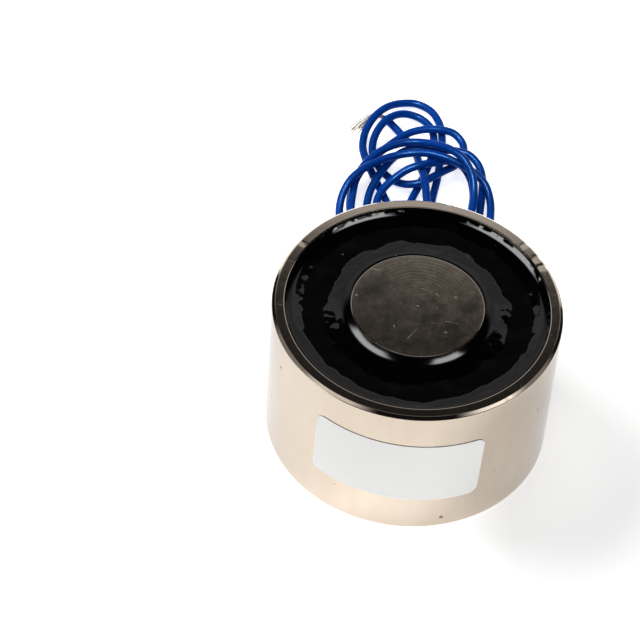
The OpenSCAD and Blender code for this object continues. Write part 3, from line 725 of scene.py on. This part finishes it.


# a painted pool of light on the floor, strongest near the point and gone beyond far
def painted_light_patch(x, y, near, far, k):
    px, py, _ = floor_mat.xyz()
    ex, ey = floor_mat.m("SUBTRACT", px, x), floor_mat.m("SUBTRACT", py, y)
    d = floor_mat.m("SQRT", floor_mat.m("ADD", floor_mat.m("MULTIPLY", ex, ex), floor_mat.m("MULTIPLY", ey, ey)))
    return floor_mat.span(d, far, near, 0.0, k, smooth=True)


# a painted ring of light on the floor round the body, at its front and sides, strongest in front of it
def painted_light_ring(near, far, k_side, k_front):
    px, py, _ = floor_mat.xyz()
    ring = floor_mat.span(floor_mat.radius(), far, near, smooth=True)
    side = floor_mat.span(py, 0.022, -0.002, 0.0, k_side, smooth=True)
    mid = floor_mat.m("MULTIPLY", floor_mat.span(floor_mat.m("ABSOLUTE", px), 0.022, 0.008, 0.0, k_front, smooth=True), floor_mat.span(py, -0.002, -0.014))
    return floor_mat.m("MULTIPLY", ring, floor_mat.m("ADD", side, mid))


# the floor's even glow, plus the painted ring of light round the body and the painted patch of light among the leads
floor_mat.set(
    Emission_Strength=floor_mat.m("ADD", 0.31, floor_mat.m("ADD", painted_light_ring(0.027, 0.049, 0.12, 0.32), painted_light_patch(-0.001, 0.056, 0.02, 0.05, 0.36))),
    Base_Color=floor_mat.mix(floor_mat.span(floor_mat.noise(30, 3), 0.3, 0.7), (0.90, 0.90, 0.90), (0.915, 0.915, 0.915)),
    Normal=floor_mat.bump(floor_mat.noise(900, 2), 0.05, 0.00005),
)
fm = bpy.data.meshes.new("floor")
fm.from_pydata([(-4, -4, 0), (4, -4, 0), (4, 4, 0), (-4, 4, 0)], [], [(0, 1, 2, 3)])
floor = bpy.data.objects.new("floor", fm)
scene.collection.objects.link(floor)
fm.materials.append(floor_mat.mat)


def softbox(name, azimuth, elevation, distance, width, height, power, glossy=True, diffuse=True, along=(0, 0, 0)):
    """A soft area light aimed at the object. Azimuth 0 is the camera's side, -Y, and 90 is +X. Its width runs along the given direction, or level."""
    d = bpy.data.lights.new(name, "AREA")
    d.shape, d.size, d.size_y, d.energy = "RECTANGLE", width, height, power
    o = bpy.data.objects.new(name, d)
    scene.collection.objects.link(o)
    a, e = math.radians(azimuth), math.radians(elevation)
    z = Vector((math.sin(a) * math.cos(e), -math.cos(a) * math.cos(e), math.sin(e)))
    x = Vector(along) if any(along) else Vector((math.cos(a), math.sin(a), 0))
    x = (x - z * x.dot(z)).normalized()
    y = z.cross(x)
    at = Vector((0, 0, 0.015)) + z * distance
    o.matrix_world = Matrix([[x[i], y[i], z[i], at[i]] for i in range(3)] + [[0, 0, 0, 1]])
    o.visible_glossy, o.visible_diffuse = glossy, diffuse
    return o


def feather(o, ends, sides):
    """Fades a light out towards its ends and sides, over these shares of its length and height."""
    o.data.use_nodes = True
    nt = o.data.node_tree
    em = next(n for n in nt.nodes if n.type == "EMISSION")
    geo = nt.nodes.new("ShaderNodeNewGeometry")
    sep = nt.nodes.new("ShaderNodeSeparateXYZ")
    nt.links.new(geo.outputs["Parametric"], sep.inputs[0])
    both = nt.nodes.new("ShaderNodeMath")
    both.operation = "MULTIPLY"
    for k, share in ((0, ends), (1, sides)):
        off = nt.nodes.new("ShaderNodeMath")
        off.operation = "SUBTRACT"
        nt.links.new(sep.outputs[k], off.inputs[0])
        off.inputs[1].default_value = 0.5
        far = nt.nodes.new("ShaderNodeMath")
        far.operation = "ABSOLUTE"
        nt.links.new(off.outputs[0], far.inputs[0])
        fade = nt.nodes.new("ShaderNodeMapRange")
        fade.interpolation_type = "SMOOTHSTEP"
        fade.inputs["From Min"].default_value = 0.5
        fade.inputs["From Max"].default_value = 0.5 - share
        nt.links.new(far.outputs[0], fade.inputs["Value"])
        nt.links.new(fade.outputs[0], both.inputs[k])
    nt.links.new(both.outputs[0], em.inputs["Strength"])
    return o


# light that falls on things
softbox("key", -110, 44, 0.9, 0.55, 0.5, 7.6, glossy=False)
softbox("right_soft", 55, 40, 0.9, 0.5, 0.45, 0.65, glossy=False)
softbox("top_fill", 0, 88, 1.3, 1.6, 1.6, 3.8, glossy=False)
softbox("front_fill", 10, 45, 1.2, 1.0, 0.6, 4.0, glossy=False)
label_fill = softbox("label_fill", 48, 38, 1.0, 0.5, 0.4, 1.5, glossy=False)
softbox("back_fill", 175, 48, 1.2, 1.0, 0.6, 2.2, glossy=False)
# panels that show in shiny surfaces
feather(softbox("left_panel_low", -66, 21, 0.9, 0.8, 0.34, 2.4, diffuse=False), 0.4, 0.3)
left_rim = feather(softbox("left_panel_rim", -55, 44, 0.9, 0.80, 0.22, 0.48, diffuse=False, along=(0.76, -0.604, 0.243)), 0.38, 0.2)
left_high = feather(softbox("left_panel_high", -88, 54.8, 0.9, 0.80, 0.38, 7.3, diffuse=False, along=(0.61, -0.69, 0.38)), 0.22, 0.3)
feather(softbox("right_panel_low", 67.5, 40.4, 0.9, 0.74, 0.22, 0.72, diffuse=False, along=(0.62, 0.73, -0.29)), 0.42, 0.2)
right_high = feather(softbox("right_panel_high", 70.8, 60.2, 0.9, 0.49, 0.36, 4.3, diffuse=False, along=(0.8, 0.53, -0.3)), 0.22, 0.3)

glint = feather(softbox("lead_glint", -35, 74, 0.7, 0.55, 0.4, 105.0, diffuse=False), 0.35, 0.35)
room = [softbox("room_front", 0, 24, 1.0, 1.2, 0.45, 0.45, diffuse=False), softbox("room_left", -90, 30, 1.0, 1.0, 0.7, 0.55, diffuse=False),
        softbox("room_right", 90, 30, 1.0, 1.0, 0.7, 0.55, diffuse=False), softbox("room_top", 0, 89, 1.0, 0.9, 0.9, 0.7, diffuse=False)]


for panel in room:
    feather(panel, 0.3, 0.3)


def shown_in(name, lights, things):
    """Limits lights to the things that are to show them."""
    c = bpy.data.collections.new(name)
    for o in things:
        c.objects.link(o)
    for o in lights:
        o.light_linking.receiver_collection = c


# a fill for the sticker, the gloss of the leads, the gloss of the resin, and the dim room that the steel shows from other sides
shown_in("label_only", [label_fill], [label])
shown_in("leads_only", [glint], [lead_a, lead_b])
shown_in("wet_only", [left_high, right_high], [resin_ring, lead_a, lead_b, strands_a, strands_b])
shown_in("steel_only", room + [left_rim], [body, strands_a, strands_b])

world = bpy.data.worlds.new("studio")
scene.world = world
world.use_nodes = True
wt = world.node_tree
wt.nodes.clear()
w_out = wt.nodes.new("ShaderNodeOutputWorld")
w_bg = wt.nodes.new("ShaderNodeBackground")
w_tc = wt.nodes.new("ShaderNodeTexCoord")
w_sep = wt.nodes.new("ShaderNodeSeparateXYZ")
w_asin = wt.nodes.new("ShaderNodeMath")
w_asin.operation = "ARCSINE"
w_el = wt.nodes.new("ShaderNodeMapRange")
w_el.inputs["From Min"].default_value = 0.0
w_el.inputs["From Max"].default_value = math.pi / 2
w_ramp = wt.nodes.new("ShaderNodeValToRGB")
w_az = wt.nodes.new("ShaderNodeMath")
w_az.operation = "ARCTAN2"
w_abs = wt.nodes.new("ShaderNodeMath")
w_abs.operation = "ABSOLUTE"
w_side = wt.nodes.new("ShaderNodeMapRange")
w_side.interpolation_type = "SMOOTHSTEP"
w_side.inputs["From Min"].default_value = math.radians(50)
w_side.inputs["From Max"].default_value = math.radians(37)
w_mix = wt.nodes.new("ShaderNodeMix")
w_mix.data_type = "RGBA"
lk = wt.links.new
lk(w_tc.outputs["Generated"], w_sep.inputs[0])
lk(w_sep.outputs[2], w_asin.inputs[0])
lk(w_asin.outputs[0], w_el.inputs["Value"])
lk(w_el.outputs[0], w_ramp.inputs[0])
lk(w_sep.outputs[0], w_az.inputs[0])
lk(w_sep.outputs[1], w_az.inputs[1])
lk(w_az.outputs[0], w_abs.inputs[0])
lk(w_abs.outputs[0], w_side.inputs["Value"])
lk(w_side.outputs[0], w_mix.inputs["Factor"])
lk(w_ramp.outputs[0], w_mix.inputs[7])
w_mix.inputs[6].default_value = (0.008, 0.008, 0.008, 1)
lk(w_mix.outputs[2], w_bg.inputs[0])
lk(w_bg.outputs[0], w_out.inputs[0])
w_bg.inputs[1].default_value = 1.0
# a bright panel behind the object that ends below the dark of the room above
stops = [(0.0, 0.03), (6.0, 0.05), (12.0, 0.28), (18.0, 0.37), (24.0, 0.35), (31.0, 0.31), (37.0, 0.40), (42.0, 0.52), (44.5, 0.56), (46.9, 0.56), (47.25, 0.24), (47.55, 0.10), (48.0, 0.05), (48.8, 0.03), (50.5, 0.02), (54.0, 0.008), (90.0, 0.008)]
ramp = w_ramp.color_ramp
ramp.elements[0].position, ramp.elements[1].position = 0.0, 1.0
ramp.elements[0].color = (stops[0][1],) * 3 + (1,)
ramp.elements[1].color = (stops[-1][1],) * 3 + (1,)
for e, b in stops[1:-1]:
    el = ramp.elements.new(e / 90)
    el.color = (b, b, b, 1)
